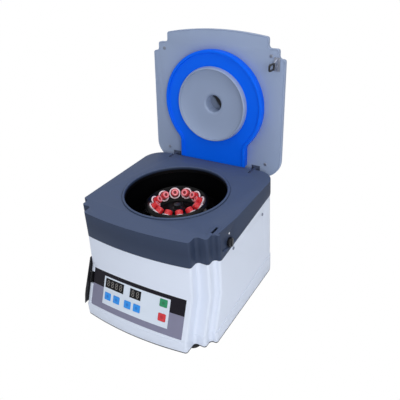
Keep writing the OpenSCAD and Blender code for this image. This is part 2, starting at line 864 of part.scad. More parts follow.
module hinge_arms() {
    color([0.5, 0.51, 0.54]) on_lid() both() {
        translate([arm_x - arm_t / 2, 0, 0]) rotate([90, 0, 90]) linear_extrude(height = arm_t)
            difference() {
                union() {
                    translate([hinge_y, hinge_z]) circle(7);
                    polygon([[hinge_y - 6.9, hinge_z - 0.5], [hinge_y + 6.9, hinge_z - 0.5],
                        [hinge_y + 7.5, lid_z - 1], [hinge_y - 9, lid_z - 1]]);
                }
                translate([hinge_y, hinge_z]) circle(pin_r + run);
            }
        translate([arm_x - 9, hinge_y - 12, lid_z - 2]) cube([18, 20, 2]);
    }
}

// lid, drawn closed
module lid_shell() {
    top = lid_z + lid_rim_h;
    color([0.58, 0.65, 0.77]) on_lid() difference() {
        union() {
            translate([0, 0, lid_z]) linear_extrude(height = lid_rim_h) full_plan(0);
            translate([0, 6.5, top - e]) linear_extrude(height = lid_crown_h + e) soft_box(244, 224, 30);
        }
        translate([0, 0, lid_z - 1]) linear_extrude(height = lid_rim_h + 1 - lid_t) full_plan(-lid_edge);
        translate([0, 6.5, lid_z - 1]) linear_extrude(height = lid_rim_h + lid_crown_h + 1 - lid_t)
            soft_box(238, 218, 27);
        translate([0, 0, top]) cylinder(r = eye_r + 3.1, h = 20);
    }
}

module lid_panel() {
    color([0.58, 0.65, 0.77]) on_lid() difference() {
        translate([0, 0, lid_z]) linear_extrude(height = 2.2) full_plan(-lid_edge);
        translate([0, 0, lid_z - 1]) linear_extrude(height = 6) keyhole(-band_w);
    }
}

// round outline with a straight neck towards the hinge
module keyhole(o, far = 0) {
    r = liner_r + o;
    w = neck_w + o;
    f = 20 - o;
    fy = sqrt(pow(r + f, 2) - pow(w + f, 2));
    k = r / (r + f);
    circle(r, $fn = 240);
    difference() {
        polygon([[0, 0], [k * (w + f), k * fy], [w + f, fy], [w, fy], [w, neck_end + o + far],
            [-w, neck_end + o + far], [-w, fy], [-w - f, fy], [-k * (w + f), k * fy]]);
        both() translate([w + f, fy]) circle(f);
    }
}

module lid_liner() {
    color([0.05, 0.38, 0.88]) on_lid() difference() {
        union() {
            translate([0, 0, lid_z - liner_h]) linear_extrude(height = liner_h) keyhole(0);
            translate([-neck_w, neck_end - 5, lid_z - liner_floor]) cube([2 * neck_w, 5 + neck_tail, liner_t]);
        }
        translate([0, 0, lid_z - liner_h - 1]) linear_extrude(height = 1 + liner_h - liner_floor)
            keyhole(-band_w, 30);
        translate([0, 0, lid_z - liner_floor + liner_t]) linear_extrude(height = 40)
            keyhole(-liner_t);
        translate([0, 0, lid_z - 40]) cylinder(r = dish_r - 7, h = 60);
    }
}

module lid_dish() {
    f = liner_floor;
    color([0.58, 0.65, 0.77]) on_lid() translate([0, 0, lid_z]) mirror([0, 0, 1])
        rotate_extrude($fn = 180) polygon([[dish_r, f], [dish_r - 2.8, dish_h], [dish_r - 5.1, dish_h],
            [52, 8], [20.5, 8], [20.5, 6], [eye_r, 6], [eye_r, tube_low], [eye_r + 2.4, tube_low],
            [eye_r + 2.4, 4], [23, 5.5], [53, 5.5], [dish_r - 7.4, 16.9], [dish_r - 5.6, f]]);
}

tube_low = -lid_rim_h - lid_crown_h + 3.2;

module view_window() {
    color([0.15, 0.17, 0.2, 0.7]) on_lid() translate([0, 0, lid_z - tube_low]) {
        cylinder(r = eye_r + 3, h = 3);
    }
}

module striker_bracket() {
    color([0.45, 0.47, 0.52]) on_lid() {
        translate([slot_x - 1.5, 0, lid_z]) rotate([90, 0, 90]) linear_extrude(height = 3) difference() {
            polygon([[-103, -0.02], [-79, -0.02], [-83, -14], [-97, -14]]);
            translate([-90, -8]) circle(2.4);
        }
        translate([slot_x - 6, -104, lid_z - 1.62]) cube([12, 26, 1.6]);
    }
}

module striker_loop() {
    color([0.04, 0.04, 0.045]) on_lid() translate([slot_x - 1.5, -90, lid_z - 39]) rotate([90, 0, 90])
        linear_extrude(height = 3) difference() {
            translate([0, 12.5]) soft_box(14, 25, 5);
            translate([0, 12.5]) soft_box(8, 18.5, 3);
        }
}

module lid_screws() {
    places4 = [[122, -106], [-122, -106], [117.5, 115.5], [-117.5, 115.5]];
    color([0.55, 0.56, 0.6]) on_lid() for (p = places4) translate([p[0], p[1], lid_z - 1.4]) difference() {
        cylinder(r = 3.4, h = 1.4);
        translate([-2.4, -0.45, -0.6]) cube([4.8, 0.9, 1.2]);
        translate([-0.45, -2.4, -0.6]) cube([0.9, 4.8, 1.2]);
    }
}

// rotor
module at_places() {
    for (i = [0:places - 1]) rotate(first_place + i * 360 / places)
        translate([collar_ring_r, 0, collar_z]) rotate([0, -tube_lean, 0]) children();
}

module rotor_head() {
    c = cos(tube_lean);
    s = sin(tube_lean);
    r = collar_ring_r;
    t = 8;
    color([0.1, 0.1, 0.11]) set_back() difference() {
        rotate_extrude($fn = 180) polygon([[6, 158], [18, 158], [18, 164], [r - 15 * c + t * s - 3, 164],
            [r + 15 * c + t * s, collar_z + 15 * s - t * c], [r + 15 * c, collar_z + 15 * s],
            [r - 16 * c, collar_z - 16 * s], [16, collar_z - 16 * s], [14, 180], [6, 180]]);
        translate([0, 0, 150]) cylinder(r = 6 + e, h = 20 + e);
        translate([0, 0, 150]) cylinder(r = 5 + e, h = 60);
        at_places() {
            translate([0, 0, 0]) cylinder(r = collar_r + 0.2, h = 12);
            translate([0, 0, -20]) cylinder(r = sleeve_r, h = 21);
        }
    }
}

module tube_sleeves() {
    color([0.93, 0.86, 0.88]) set_back() at_places() difference() {
        union() {
            cylinder(r = collar_r, h = collar_t);
            translate([0, 0, -sleeve_len + 4]) cylinder(r = sleeve_r - 0.02, h = sleeve_len - 4 + e);
            translate([0, 0, -sleeve_len]) cylinder(r1 = sleeve_r - 4, r2 = sleeve_r - 0.02, h = 4 + e);
        }
        translate([0, 0, -sleeve_len + 5]) cylinder(r = cap_r + 0.35, h = sleeve_len + 10);
    }
}

module tubes() {
    color([0.8, 0.86, 0.9, 0.6]) set_back() at_places() {
        translate([0, 0, -sleeve_len + 5 + tube_r]) cylinder(r = tube_r, h = sleeve_len - 5.4 - tube_r);
        translate([0, 0, -sleeve_len + 5 + tube_r]) sphere(r = tube_r, $fn = 40);
    }
}

module tube_caps() {
    color([0.88, 0.2, 0.22]) set_back() at_places() difference() {
        union() {
            translate([0, 0, -0.4]) cylinder(r = cap_r - 0.35, h = cap_h - 0.2);
            translate([0, 0, 2.6]) cylinder(r = cap_r, h = cap_h - 3.8);
        }
        translate([0, 0, cap_h - 3.4]) cylinder(r1 = 2.2, r2 = 3.6, h = 4);
    }
}

module rotor_nut() {
    color([0.2, 0.2, 0.22]) set_back() translate([0, 0, 180]) difference() {
        union() {
            cylinder(r = 9, h = 3);
            translate([0, 0, 3 - e]) cylinder(r = 7.5, h = 8, $fn = 6);
        }
        translate([0, 0, -1]) cylinder(r = 5 + e, h = 8);
    }
}

case_shell();
base_plate();
feet();
foot_screws();
deck();
side_screws();
bowl();
bowl_seal();
bowl_studs();
motor_plate();
dampers();
motor();
control_board();
key_switches();
power_board();
transformer();
panel_overlay();
panel_band();
keypad_membrane();
display_speed();
display_time();
display_digits();
power_inlet();
inlet_pins();
fuse_holder();
rear_grille();
mains_housing();
latch_plate();
latch_guide();
lid_switch();
hinge_brackets();
hinge_pins();
index_dot();
lid_shell();
lid_panel();
lid_liner();
lid_dish();
view_window();
striker_bracket();
striker_loop();
lid_screws();
hinge_arms();
drive_shaft();
rotor_head();
tube_sleeves();
tubes();
tube_caps();
rotor_nut();
latch_knob();
latch_shaft();
latch_bolt();
mains_rocker();
key_speed_down();
key_speed_up();
key_time_down();
key_time_up();
key_start();
key_stop();
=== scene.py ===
import json
import math

import bmesh
import bpy
from mathutils import Matrix, Vector

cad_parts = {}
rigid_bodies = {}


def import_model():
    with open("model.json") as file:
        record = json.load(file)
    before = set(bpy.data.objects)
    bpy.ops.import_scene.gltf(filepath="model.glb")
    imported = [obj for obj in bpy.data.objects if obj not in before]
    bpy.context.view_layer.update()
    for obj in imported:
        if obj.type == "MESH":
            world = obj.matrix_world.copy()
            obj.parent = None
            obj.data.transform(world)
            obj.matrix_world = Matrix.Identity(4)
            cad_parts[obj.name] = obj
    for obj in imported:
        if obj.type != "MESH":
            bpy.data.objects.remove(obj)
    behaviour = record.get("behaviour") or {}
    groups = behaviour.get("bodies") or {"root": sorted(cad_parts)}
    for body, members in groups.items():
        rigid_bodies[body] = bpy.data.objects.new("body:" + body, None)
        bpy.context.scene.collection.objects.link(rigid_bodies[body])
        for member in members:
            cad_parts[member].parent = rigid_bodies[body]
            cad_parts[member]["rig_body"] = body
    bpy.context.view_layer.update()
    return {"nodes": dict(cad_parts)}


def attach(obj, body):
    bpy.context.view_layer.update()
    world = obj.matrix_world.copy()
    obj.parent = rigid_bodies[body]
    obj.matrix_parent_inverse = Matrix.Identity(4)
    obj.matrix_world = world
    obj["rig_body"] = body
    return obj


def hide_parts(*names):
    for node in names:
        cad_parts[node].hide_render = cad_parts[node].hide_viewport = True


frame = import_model()
cadNodes = frame["nodes"]
mm = 0.001
setBack = 7.0  # the rotor axis lies this far behind the middle of the open outline
print("frame loaded:", len(cadNodes), "nodes")


# node helpers
class Sock:  # a socket that can be used in sums
    def __init__(self, tree, socket):
        self.tree = tree
        self.socket = socket

    def calc(self, operation, first, second=None):
        return addNode(self.tree, "ShaderNodeMath", {"operation": operation}, {0: first, 1: second})

    def __add__(self, other):
        return self.calc("ADD", self, other)

    def __radd__(self, other):
        return self.calc("ADD", other, self)

    def __sub__(self, other):
        return self.calc("SUBTRACT", self, other)

    def __rsub__(self, other):
        return self.calc("SUBTRACT", other, self)

    def __mul__(self, other):
        return self.calc("MULTIPLY", self, other)

    def __rmul__(self, other):
        return self.calc("MULTIPLY", other, self)

    def __truediv__(self, other):
        return self.calc("DIVIDE", self, other)

    def __rtruediv__(self, other):
        return self.calc("DIVIDE", other, self)

    def absolute(self):
        return self.calc("ABSOLUTE", self)

    def power(self, other):
        return self.calc("POWER", self, other)

    def above(self, limit):
        return self.calc("GREATER_THAN", self, limit)

    def cos(self):
        return self.calc("COSINE", self)

    def sin(self):
        return self.calc("SINE", self)


def addNode(tree, kind, settings=None, inputs=None, output=0):
    node = tree.nodes.new(kind)
    for key, value in (settings or {}).items():
        if key == "stops":
            ramp = node.color_ramp
            while len(ramp.elements) < len(value):
                ramp.elements.new(0.5)
            for element, (position, colour) in zip(ramp.elements, value):
                element.position = position
                element.color = colour
        else:
            setattr(node, key, value)
    for key, value in (inputs or {}).items():
        if isinstance(value, Sock):
            tree.links.new(value.socket, node.inputs[key])
        elif value is not None:
            node.inputs[key].default_value = value
    return Sock(tree, node.outputs[output])


def paint(red, green, blue):  # a screen colour, 0 to 255, as the linear one that shaders take
    def linear(value):
        value /= 255
        return value / 12.92 if value <= 0.04045 else ((value + 0.055) / 1.055) ** 2.4
    return (linear(red), linear(green), linear(blue), 1)


def shade(colour, factor):
    return tuple(min(1, c * factor) for c in colour[:3]) + (1,)


class Finish:
    def __init__(self, name, **fixed):
        self.material = bpy.data.materials.new(name)
        self.material.use_nodes = True
        self.tree = self.material.node_tree
        self.tree.nodes.clear()
        self.shader = self.tree.nodes.new("ShaderNodeBsdfPrincipled")
        self.output = self.tree.nodes.new("ShaderNodeOutputMaterial")
        self.tree.links.new(self.shader.outputs[0], self.output.inputs[0])
        for key, value in fixed.items():
            self.shader.inputs[key.replace("_", " ")].default_value = value
        self.place = self.make("ShaderNodeTexCoord", output="Object")

    def make(self, kind, settings=None, inputs=None, output=0):
        return addNode(self.tree, kind, settings, inputs, output)

    def feed(self, name, value):
        if isinstance(value, Sock):
            self.tree.links.new(value.socket, self.shader.inputs[name])
        else:
            self.shader.inputs[name].default_value = value

    def stretched(self, scale):
        return self.make("ShaderNodeMapping", None, {"Vector": self.place, "Scale": scale})

    def noise(self, scale, detail=2.0, place=None):
        return self.make("ShaderNodeTexNoise", None,
                         {"Vector": place or self.place, "Scale": scale, "Detail": detail})

    def cells(self, scale):
        return self.make("ShaderNodeTexVoronoi", None, {"Vector": self.place, "Scale": scale})

    def blend(self, factor, first, second):
        return self.make("ShaderNodeMix", {"data_type": "RGBA"}, {0: factor, 6: first, 7: second}, 2)

    def axes(self):
        node = self.tree.nodes.new("ShaderNodeSeparateXYZ")
        self.tree.links.new(self.place.socket, node.inputs[0])
        return [Sock(self.tree, out) for out in node.outputs]

    def bump(self, height, strength, depth):
        self.feed("Normal", self.make("ShaderNodeBump", None,
                                      {"Height": height, "Strength": strength, "Distance": depth}))


# finishes
def mouldedPlastic(name, colour, look):
    finish = Finish(name, IOR=look.get("ior", 1.46))
    cloud = finish.noise(look.get("cloudScale", 9.0), 3.0)
    fine = finish.noise(look["grainScale"], 2.0)
    mottle = look.get("mottle", 0.03)
    finish.feed("Base Color", finish.blend(cloud * 0.6 + fine * 0.4, shade(colour, 1 - mottle),
                                           shade(colour, 1 + mottle)))
    finish.feed("Roughness", cloud * 0.12 + fine * 0.08 + (look["rough"] - 0.1))
    grain = fine if look.get("soft") else finish.cells(look["grainScale"]) * 0.7 + fine * 0.5
    finish.bump(grain, look["grain"], 0.0003)
    return finish.material


def deckPlastic(name, colour, look):
    # the upright skirt is painted darker than the top as painted shade, and the wall inside the mouth is
    # painted black lower down as painted shade in the opening
    finish = Finish(name, IOR=1.3)
    normal = finish.make("ShaderNodeNewGeometry", output="Normal")
    split = finish.tree.nodes.new("ShaderNodeSeparateXYZ")
    finish.tree.links.new(normal.socket, split.inputs[0])
    facing = Sock(finish.tree, split.outputs[2]).absolute()
    cloud = finish.noise(11.0, 4.0)
    fine = finish.noise(look["grainScale"], 2.0)
    top = finish.blend(cloud, shade(colour, 0.96), shade(colour, 1.05))
    across, along, height = finish.axes()
    along = along + setBack * mm
    reach = (across * across + along * along).power(0.5)
    # painted shade: inside the mouth the deck's slate wall turns to the bowl's black below this height
    mouth = finish.make("ShaderNodeMapRange", None, {
        0: height, 1: look["shadeBelow"], 2: look["slateAbove"], 3: 1.0, 4: 0.0})
    mouth = mouth * (1 - reach.above(look["mouth"]))
    # painted shade: upright faces take the darker skirt colour, flat faces the top colour
    side = finish.blend(cloud, shade(look["skirt"], 0.95), shade(look["skirt"], 1.05))
    finish.feed("Base Color", finish.blend(mouth, finish.blend(facing, side, top), colours["bowl"]))
    finish.feed("Roughness", cloud * 0.1 + fine * 0.1 + (look["rough"] - 0.1))
    finish.bump(finish.cells(look["grainScale"]) * 0.7 + fine * 0.5, look["grain"], 0.0003)
    return finish.material


def metal(name, colour, look):
    finish = Finish(name, Metallic=look.get("metallic", 1.0), IOR=look.get("ior", 1.5))
    lines = finish.noise(look.get("lineScale", 60.0), 3.0, finish.stretched(look.get("stretch", (1, 1, 25))))
    cloud = finish.noise(25.0, 2.0)
    finish.feed("Base Color", finish.blend(lines, shade(colour, 0.86), shade(colour, 1.08)))
    finish.feed("Roughness", lines * 0.16 + cloud * 0.1 + (look["rough"] - 0.13))
    finish.bump(lines, look.get("grain", 0.15), 0.0002)
    return finish.material


def rubber(name, colour, rough=0.75):
    finish = Finish(name, IOR=1.5)
    fine = finish.noise(1500.0, 2.0)
    cloud = finish.noise(40.0, 3.0)
    finish.feed("Base Color", finish.blend(cloud, shade(colour, 0.8), shade(colour, 1.3)))
    finish.feed("Roughness", cloud * 0.15 + (rough - 0.08))
    finish.bump(fine, 0.25, 0.0002)
    return finish.material


def boardFinish(name, colour):
    finish = Finish(name, IOR=1.5)
    tracks = finish.make("ShaderNodeTexBrick", {"offset": 0.5}, {
        "Vector": finish.place, "Scale": 90.0, "Mortar Size": 0.08, "Color1": colour,
        "Color2": shade(colour, 0.8), "Mortar": shade(colour, 1.7)})
    finish.feed("Base Color", tracks)
    finish.feed("Roughness", finish.noise(60.0) * 0.2 + 0.35)
    return finish.material


def filmFinish(name, colour, rough):
    finish = Finish(name, IOR=1.3)
    fine = finish.noise(900.0, 2.0)
    cloud = finish.noise(18.0, 2.0)
    finish.feed("Base Color", finish.blend(cloud, shade(colour, 0.94), shade(colour, 1.06)))
    finish.feed("Roughness", fine * 0.1 + cloud * 0.08 + (rough - 0.09))
    finish.bump(fine, 0.05, 0.0002)
    return finish.material


def keyFinish(name, colour, centre, centreWorld, tilt):
    # darker in the middle of the key and paler towards the edge
    finish = Finish(name, IOR=1.5, Coat_Weight=0.3, Coat_Roughness=0.2)
    placed = finish.make("ShaderNodeMapping", {"vector_type": "TEXTURE"}, {
        "Vector": finish.place, "Location": centreWorld, "Rotation": (tilt, 0, 0)})
    spread = finish.make("ShaderNodeVectorMath", {"operation": "LENGTH"}, {0: finish.make(
        "ShaderNodeVectorMath", {"operation": "MULTIPLY"}, {0: placed, 1: (1000, 1000, 0)})}, "Value")
    fine = finish.noise(700.0, 2.0)
    ring = finish.make("ShaderNodeMapRange", {"interpolation_type": "SMOOTHSTEP"}, {
        0: spread + fine * 0.5, 1: 2.2, 2: 4.4, 3: 0.0, 4: 1.0})
    finish.feed("Base Color", finish.blend(ring, centre, colour))
    finish.feed("Roughness", fine * 0.15 + 0.3)
    finish.bump(fine, 0.06, 0.0002)
    return finish.material


def toneFinish(name, low, middle, high, rough, **fixed):
    # colour by the piece's own tone attribute: 0 hollow, 0.5 side, 1 rim; the low tones paint shade into
    # hollows and deep parts, and the high tone paints the highlight on the caps' crowns
    finish = Finish(name, **fixed)
    tone = finish.make("ShaderNodeAttribute", {"attribute_name": "tone"}, output="Fac")
    fine = finish.noise(600.0, 2.0)
    finish.feed("Base Color", finish.make("ShaderNodeValToRGB", {"stops": [
        (0.05, low), (0.45, middle), (0.6, middle), (0.95, high)]}, {"Fac": tone}))
    finish.feed("Roughness", fine * 0.14 + (rough - 0.07))
    finish.bump(fine, 0.05, 0.0002)
    return finish.material


# where the window's painted shadow meets its painted light, and how ragged that edge is
windowLook = {"height": 0.3433, "ragged": 0.005, "paleEnd": -0.0035, "darkStart": 0.0015}


def windowFinish(name, shadowPaint, litWallPaint):
    # smoked clear plastic, painted: a painted shadow towards the upper right, and elsewhere the pale painted
    # light of the tube's lit inner wall
    finish = Finish(name, IOR=1.4)
    across, _, height = finish.axes()
    lean = across * 0.8 + (height - windowLook["height"]) * 0.6
    lean = lean + finish.noise(220.0, 3.0) * windowLook["ragged"]
    edge = finish.make("ShaderNodeMapRange", {"interpolation_type": "SMOOTHSTEP"}, {
        0: lean, 1: windowLook["paleEnd"], 2: windowLook["darkStart"], 3: 0.0, 4: 1.0})
    finish.feed("Base Color", finish.blend(edge, litWallPaint, shadowPaint))
    finish.feed("Roughness", finish.noise(60.0, 2.0) * 0.1 + 0.12)
    return finish.material


colours = {
    "case": paint(222, 230, 246), "deck": paint(78, 92, 122), "lid": paint(150, 166, 196),
    "liner": paint(2, 104, 255), "bowl": paint(3, 3, 5), "black": paint(20, 20, 24),
    "overlay": paint(18, 14, 26), "band": paint(132, 132, 156), "membrane": paint(220, 230, 244),
    "keyBlue": paint(28, 148, 240), "keyBlueDark": paint(20, 118, 214), "keyGreen": paint(18, 142, 92),
    "keyGreenDark": paint(14, 116, 76), "keyRed": paint(214, 42, 52), "keyRedDark": paint(186, 30, 42),
    "capRed": paint(232, 48, 56), "capHighlight": paint(250, 150, 160), "capShade": paint(110, 10, 22),
    "collar": paint(250, 232, 240), "sleeve": paint(196, 192, 204), "steel": paint(176, 178, 184),
    "zinc": paint(150, 156, 172), "brass": paint(206, 180, 110), "boardGreen": paint(20, 92, 56),
    "segment": paint(150, 146, 142), "rotor": paint(8, 8, 10),
}

looks = {
    "case": {"rough": 0.34, "grainScale": 700.0, "grain": 0.03, "mottle": 0.015, "soft": True},
    # painted shade: the skirt colour darkens the deck's upright faces; the mouth radius and the two heights
    # bound the painted shade inside the opening
    "deck": {"rough": 0.5, "grainScale": 1300.0, "grain": 0.1, "skirt": paint(46, 58, 82), "mouth": 0.104,
             "shadeBelow": 0.2165, "slateAbove": 0.2195},
    "lid": {"rough": 0.46, "grainScale": 1300.0, "grain": 0.08, "mottle": 0.025},
    "liner": {"rough": 0.45, "ior": 1.22, "grainScale": 900.0, "grain": 0.04, "mottle": 0.03, "soft": True},
    "black": {"rough": 0.45, "grainScale": 900.0, "grain": 0.08, "mottle": 0.1},
}

finishes = {
    "case": mouldedPlastic("caseWhite", colours["case"], looks["case"]),
    "deck": deckPlastic("deckSlate", colours["deck"], looks["deck"]),
    "lid": mouldedPlastic("lidGrey", colours["lid"], looks["lid"]),
    "liner": mouldedPlastic("linerBlue", colours["liner"], looks["liner"]),
    "black": mouldedPlastic("blackPlastic", colours["black"], looks["black"]),
    "knob": mouldedPlastic("knobBlack", paint(16, 16, 20), dict(looks["black"], rough=0.35)),
    "switchRed": mouldedPlastic("switchRed", paint(150, 24, 24), looks["black"]),
    "dot": mouldedPlastic("dotWhite", paint(240, 244, 250), looks["case"]),
    "bowl": metal("bowlBlack", colours["bowl"], {"metallic": 0.0, "rough": 0.6, "grain": 0.03,
                                                 "ior": 1.15}),
    "rotor": metal("rotorAnodised", colours["rotor"], {"metallic": 0.0, "rough": 0.3, "grain": 0.05,
                                                       "ior": 1.25}),
    "steel": metal("brushedSteel", colours["steel"], {"rough": 0.34}),
    "hinge": metal("hingeSlate", paint(70, 80, 104), {"metallic": 0.3, "rough": 0.5, "grain": 0.05}),
    "zinc": metal("zincScrew", colours["zinc"], {"rough": 0.38, "stretch": (1, 1, 1), "lineScale": 300.0}),
    "motor": metal("motorPaint", paint(52, 54, 60), {"metallic": 0.2, "rough": 0.5}),
    "winding": metal("windingCopper", paint(120, 76, 44), {"rough": 0.4, "stretch": (1, 1, 40)}),
    "basePaint": metal("basePaint", paint(22, 22, 26), {"metallic": 0.1, "rough": 0.55}),
    "brass": metal("pinBrass", colours["brass"], {"rough": 0.3}),
    "rubber": rubber("rubberBlack", paint(24, 24, 26)),
    "board": boardFinish("boardGreen", colours["boardGreen"]),
    "overlay": filmFinish("overlayBlack", colours["overlay"], 0.3),
    "band": filmFinish("overlayGrey", colours["band"], 0.4),
    "membrane": filmFinish("membranePale", colours["membrane"], 0.42),
    "glass": filmFinish("displaySmoke", paint(12, 12, 15), 0.16),
    "segment": filmFinish("segmentGrey", colours["segment"], 0.5),
    # the window's painted shadow colour and the painted light of its lit tube wall
    "window": windowFinish("windowPaintedShade", paint(12, 13, 24), paint(122, 134, 156)),
    # the cap's dark dimple is painted shade and its pink crown a painted highlight
    "cap": toneFinish("capRed", colours["capShade"], colours["capRed"], colours["capHighlight"], 0.32, IOR=1.5),
    # the near-black bore and lower sleeve are painted shade
    "collar": toneFinish("collarClear", paint(6, 6, 9), colours["sleeve"], colours["collar"], 0.25,
                         IOR=1.5, Coat_Weight=0.4),
    "tube": toneFinish("tubeClear", paint(120, 20, 26), paint(206, 200, 208), paint(230, 226, 232), 0.12,
                       IOR=1.5, Coat_Weight=0.5),
}

nodeFinish = {
    "case": ["case_shell"], "deck": ["deck", "latch_plate"], "lid": ["lid_shell", "lid_panel", "lid_dish"],
    "liner": ["lid_liner"], "black": ["key_switches", "power_inlet", "fuse_holder", "rear_grille",
                                      "mains_housing", "mains_rocker", "striker_loop", "rotor_nut"],
    "knob": ["latch_knob"], "switchRed": ["lid_switch"], "dot": ["index_dot"], "bowl": ["bowl"],
    "rotor": ["rotor_head"], "steel": ["motor_plate", "latch_guide", "drive_shaft", "latch_shaft",
                                       "latch_bolt"],
    "hinge": ["hinge_brackets", "hinge_pins", "hinge_arms"],
    "zinc": ["foot_screws", "side_screws", "bowl_studs", "lid_screws", "striker_bracket"], "motor": ["motor"],
    "winding": ["transformer"], "basePaint": ["base_plate"], "brass": ["inlet_pins"],
    "rubber": ["feet", "dampers", "bowl_seal"], "board": ["control_board", "power_board"],
    "overlay": ["panel_overlay"], "band": ["panel_band"], "membrane": ["keypad_membrane"],
    "glass": ["display_speed", "display_time"], "segment": ["display_digits"], "window": ["view_window"],
    "cap": ["tube_caps"], "collar": ["tube_sleeves"], "tube": ["tubes"],
}
bodyOf = {name: node["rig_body"] for name, node in cadNodes.items()}
finishOf = {node: finishes[key] for key, members in nodeFinish.items() for node in members}

# the panel's own frame: x across, v down the slope, out of the face
panel = {"radius": 660.5 / math.cos(math.radians(21.93)), "tilt": math.radians(90 - 21.93),
         "lift": 105.0, "front": -152.7 - setBack}


def panelPoint(x, v, out=0.0):
    turn = x / panel["radius"]
    across = math.sin(turn) * (panel["radius"] + out)
    outward = math.cos(turn) * (panel["radius"] + out) - panel["radius"]
    c, s = math.cos(panel["tilt"]), math.sin(panel["tilt"])
    return Vector((across, panel["front"] - v * c - outward * s, panel["lift"] - v * s + outward * c)) * mm


keyPlaces = {
    "key_speed_down": (-62.6, 45.4, "keyBlue"), "key_speed_up": (-40.5, 45.4, "keyBlue"),
    "key_time_down": (-13.7, 45.4, "keyBlue"), "key_time_up": (7.6, 45.4, "keyBlue"),
    "key_start": (61.9, 18.2, "keyGreen"), "key_stop": (61.9, 44.9, "keyRed"),
}
for keyName, (x, v, tint) in keyPlaces.items():
    finishOf[keyName] = keyFinish(keyName + "Finish", colours[tint], colours[tint + "Dark"],
                                  panelPoint(x, v), panel["tilt"])

for name, node in cadNodes.items():
    for slot in node.material_slots:
        slot.material = finishOf[name]
print("finishes assigned:", len(finishOf))


# mesh helpers
def newPiece(name, mesh):
    piece = bpy.data.objects.new(name, mesh)
    bpy.context.scene.collection.objects.link(piece)
    return piece


def plainMesh(piece):  # the evaluated result as a plain mesh, modifiers gone
    bpy.context.view_layer.update()
    result = bpy.data.meshes.new_from_object(piece.evaluated_get(bpy.context.evaluated_depsgraph_get()))
    piece.modifiers.clear()
    piece.data = result
    return piece


def finishPiece(piece, body, *replaced, material=None, slot=None):
    if material:
        piece.data.materials.clear()
        piece.data.materials.append(material)
    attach(piece, body)
    if replaced:
        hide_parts(*replaced)
    return piece


def softCopy(nodeName, width, segments=3, angle=30.0, smooth=32.0):
    mesh = cadNodes[nodeName].data.copy()
    work = bmesh.new()
    work.from_mesh(mesh)
    bmesh.ops.remove_doubles(work, verts=work.verts, dist=4e-6)
    bmesh.ops.dissolve_limit(work, angle_limit=math.radians(0.25), verts=work.verts, edges=work.edges)
    work.to_mesh(mesh)
    work.free()
    piece = newPiece(nodeName + ".soft", mesh)
    mesh.shade_smooth()
    bevel = piece.modifiers.new("edges", "BEVEL")
    bevel.width = width * mm
    bevel.segments = segments
    bevel.limit_method = "ANGLE"
    bevel.angle_limit = math.radians(angle)
    bevel.harden_normals = False
    plainMesh(piece)
    piece.data.set_sharp_from_angle(angle=math.radians(smooth))
    return finishPiece(piece, bodyOf[nodeName], nodeName, material=finishOf[nodeName])


softEdges = {  # edge rounding in mm
    "case_shell": 1.0, "deck": 1.1, "latch_plate": 0.25, "lid_shell": 0.9, "lid_panel": 0.5, "lid_liner": 1.3,
    "base_plate": 0.4, "rotor_head": 0.5, "latch_knob": 0.6, "striker_loop": 0.4,
    "striker_bracket": 0.4, "hinge_arms": 0.5, "power_inlet": 0.5, "rear_grille": 0.4, "fuse_holder": 0.4,
    "mains_rocker": 0.4, "rotor_nut": 0.5, "feet": 0.5,
}
softEdges.update({keyName: 0.5 for keyName in keyPlaces})
for nodeName, width in softEdges.items():
    softCopy(nodeName, width)
print("edges rounded on", len(softEdges), "nodes")


# pieces that repeat, made by geometry nodes
def newTree(name, sockets):
    tree = bpy.data.node_groups.new(name, "GeometryNodeTree")
    for label, kind, value in sockets:
        item = tree.interface.new_socket(name=label, in_out="INPUT", socket_type="NodeSocket" + kind)
        if value is not None:
            item.default_value = value
    tree.interface.new_socket(name="Geometry", in_out="OUTPUT", socket_type="NodeSocketGeometry")
    start = tree.nodes.new("NodeGroupInput")
    return tree, {label: Sock(tree, start.outputs[label]) for label, kind, value in sockets}


def closeTree(tree, placed, amount, seed, finish):  # each copy gets its own small turn about its axis
    roll = addNode(tree, "FunctionNodeRandomValue", None, {2: 0 - amount, 3: amount, "Seed": seed}, 1)
    rolled = addNode(tree, "GeometryNodeRotateInstances", None, {
        "Instances": placed, "Rotation": addNode(tree, "ShaderNodeCombineXYZ", None, {2: roll})})
    solid = addNode(tree, "GeometryNodeRealizeInstances", None, {0: rolled})
    done = addNode(tree, "GeometryNodeSetMaterial", None, {"Geometry": solid, "Material": finish})
    end = tree.nodes.new("NodeGroupOutput")
    tree.links.new(done.socket, end.inputs[0])
    return tree


def ringTree():  # copies of a piece in a ring, each leaning towards the axis and turned a little
    tree, given = newTree("rotorRing", [
        ("Piece", "Object", None), ("Finish", "Material", None), ("Count", "Int", 12),
        ("First", "Float", 0.0), ("Radius", "Float", 0.05), ("Height", "Float", 0.2),
        ("Back", "Float", 0.0), ("Lean", "Float", 0.9), ("Roll", "Float", 0.2), ("Seed", "Int", 5)])
    index = addNode(tree, "GeometryNodeInputIndex")
    turn = given["First"] + index * (2 * math.pi) / given["Count"]
    spot = addNode(tree, "ShaderNodeCombineXYZ", None, {
        0: turn.cos() * given["Radius"], 1: turn.sin() * given["Radius"] + given["Back"], 2: given["Height"]})
    tilt = addNode(tree, "ShaderNodeCombineXYZ", None, {0: 0.0, 1: 0 - given["Lean"], 2: turn})
    points = addNode(tree, "GeometryNodePoints", None, {"Count": given["Count"], "Position": spot})
    shape = addNode(tree, "GeometryNodeObjectInfo", None, {"Object": given["Piece"]}, "Geometry")
    placed = addNode(tree, "GeometryNodeInstanceOnPoints", None, {
        "Points": points, "Instance": shape, "Rotation": tilt})
    return closeTree(tree, placed, given["Roll"], given["Seed"], given["Finish"])


